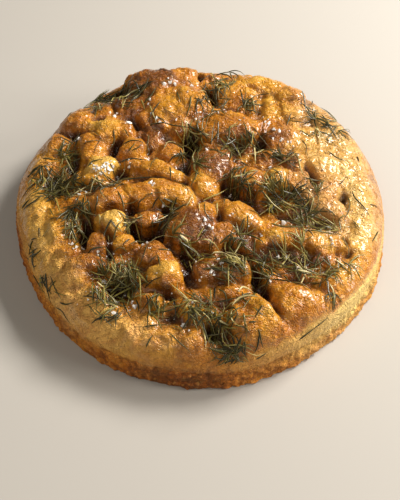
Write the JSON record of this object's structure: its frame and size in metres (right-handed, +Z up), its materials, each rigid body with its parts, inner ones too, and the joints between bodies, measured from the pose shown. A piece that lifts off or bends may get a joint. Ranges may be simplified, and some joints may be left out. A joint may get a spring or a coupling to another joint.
{
  "type": "focaccia bread",
  "caption": "Round flat-bottomed loaf of focaccia with an upright baked side, a rolled shoulder and a browned, deeply dimpled top crust of risen bubbles with rosemary and salt.",
  "frame": {"origin": "centre of the loaf's footprint box, on the surface it stands on", "axes": "+Z up through the top crust, -Y towards the side that faces the viewer, +X to that viewer's right"},
  "size_m": [0.28, 0.2828, 0.064],
  "materials": {
    "crust": "oiled golden-brown baked crust, glossy on the crowns of the bubbles and duller on the side"
  },
  "bodies": {
    "root": {"bread": "crust"}
  },
  "joints": []
}
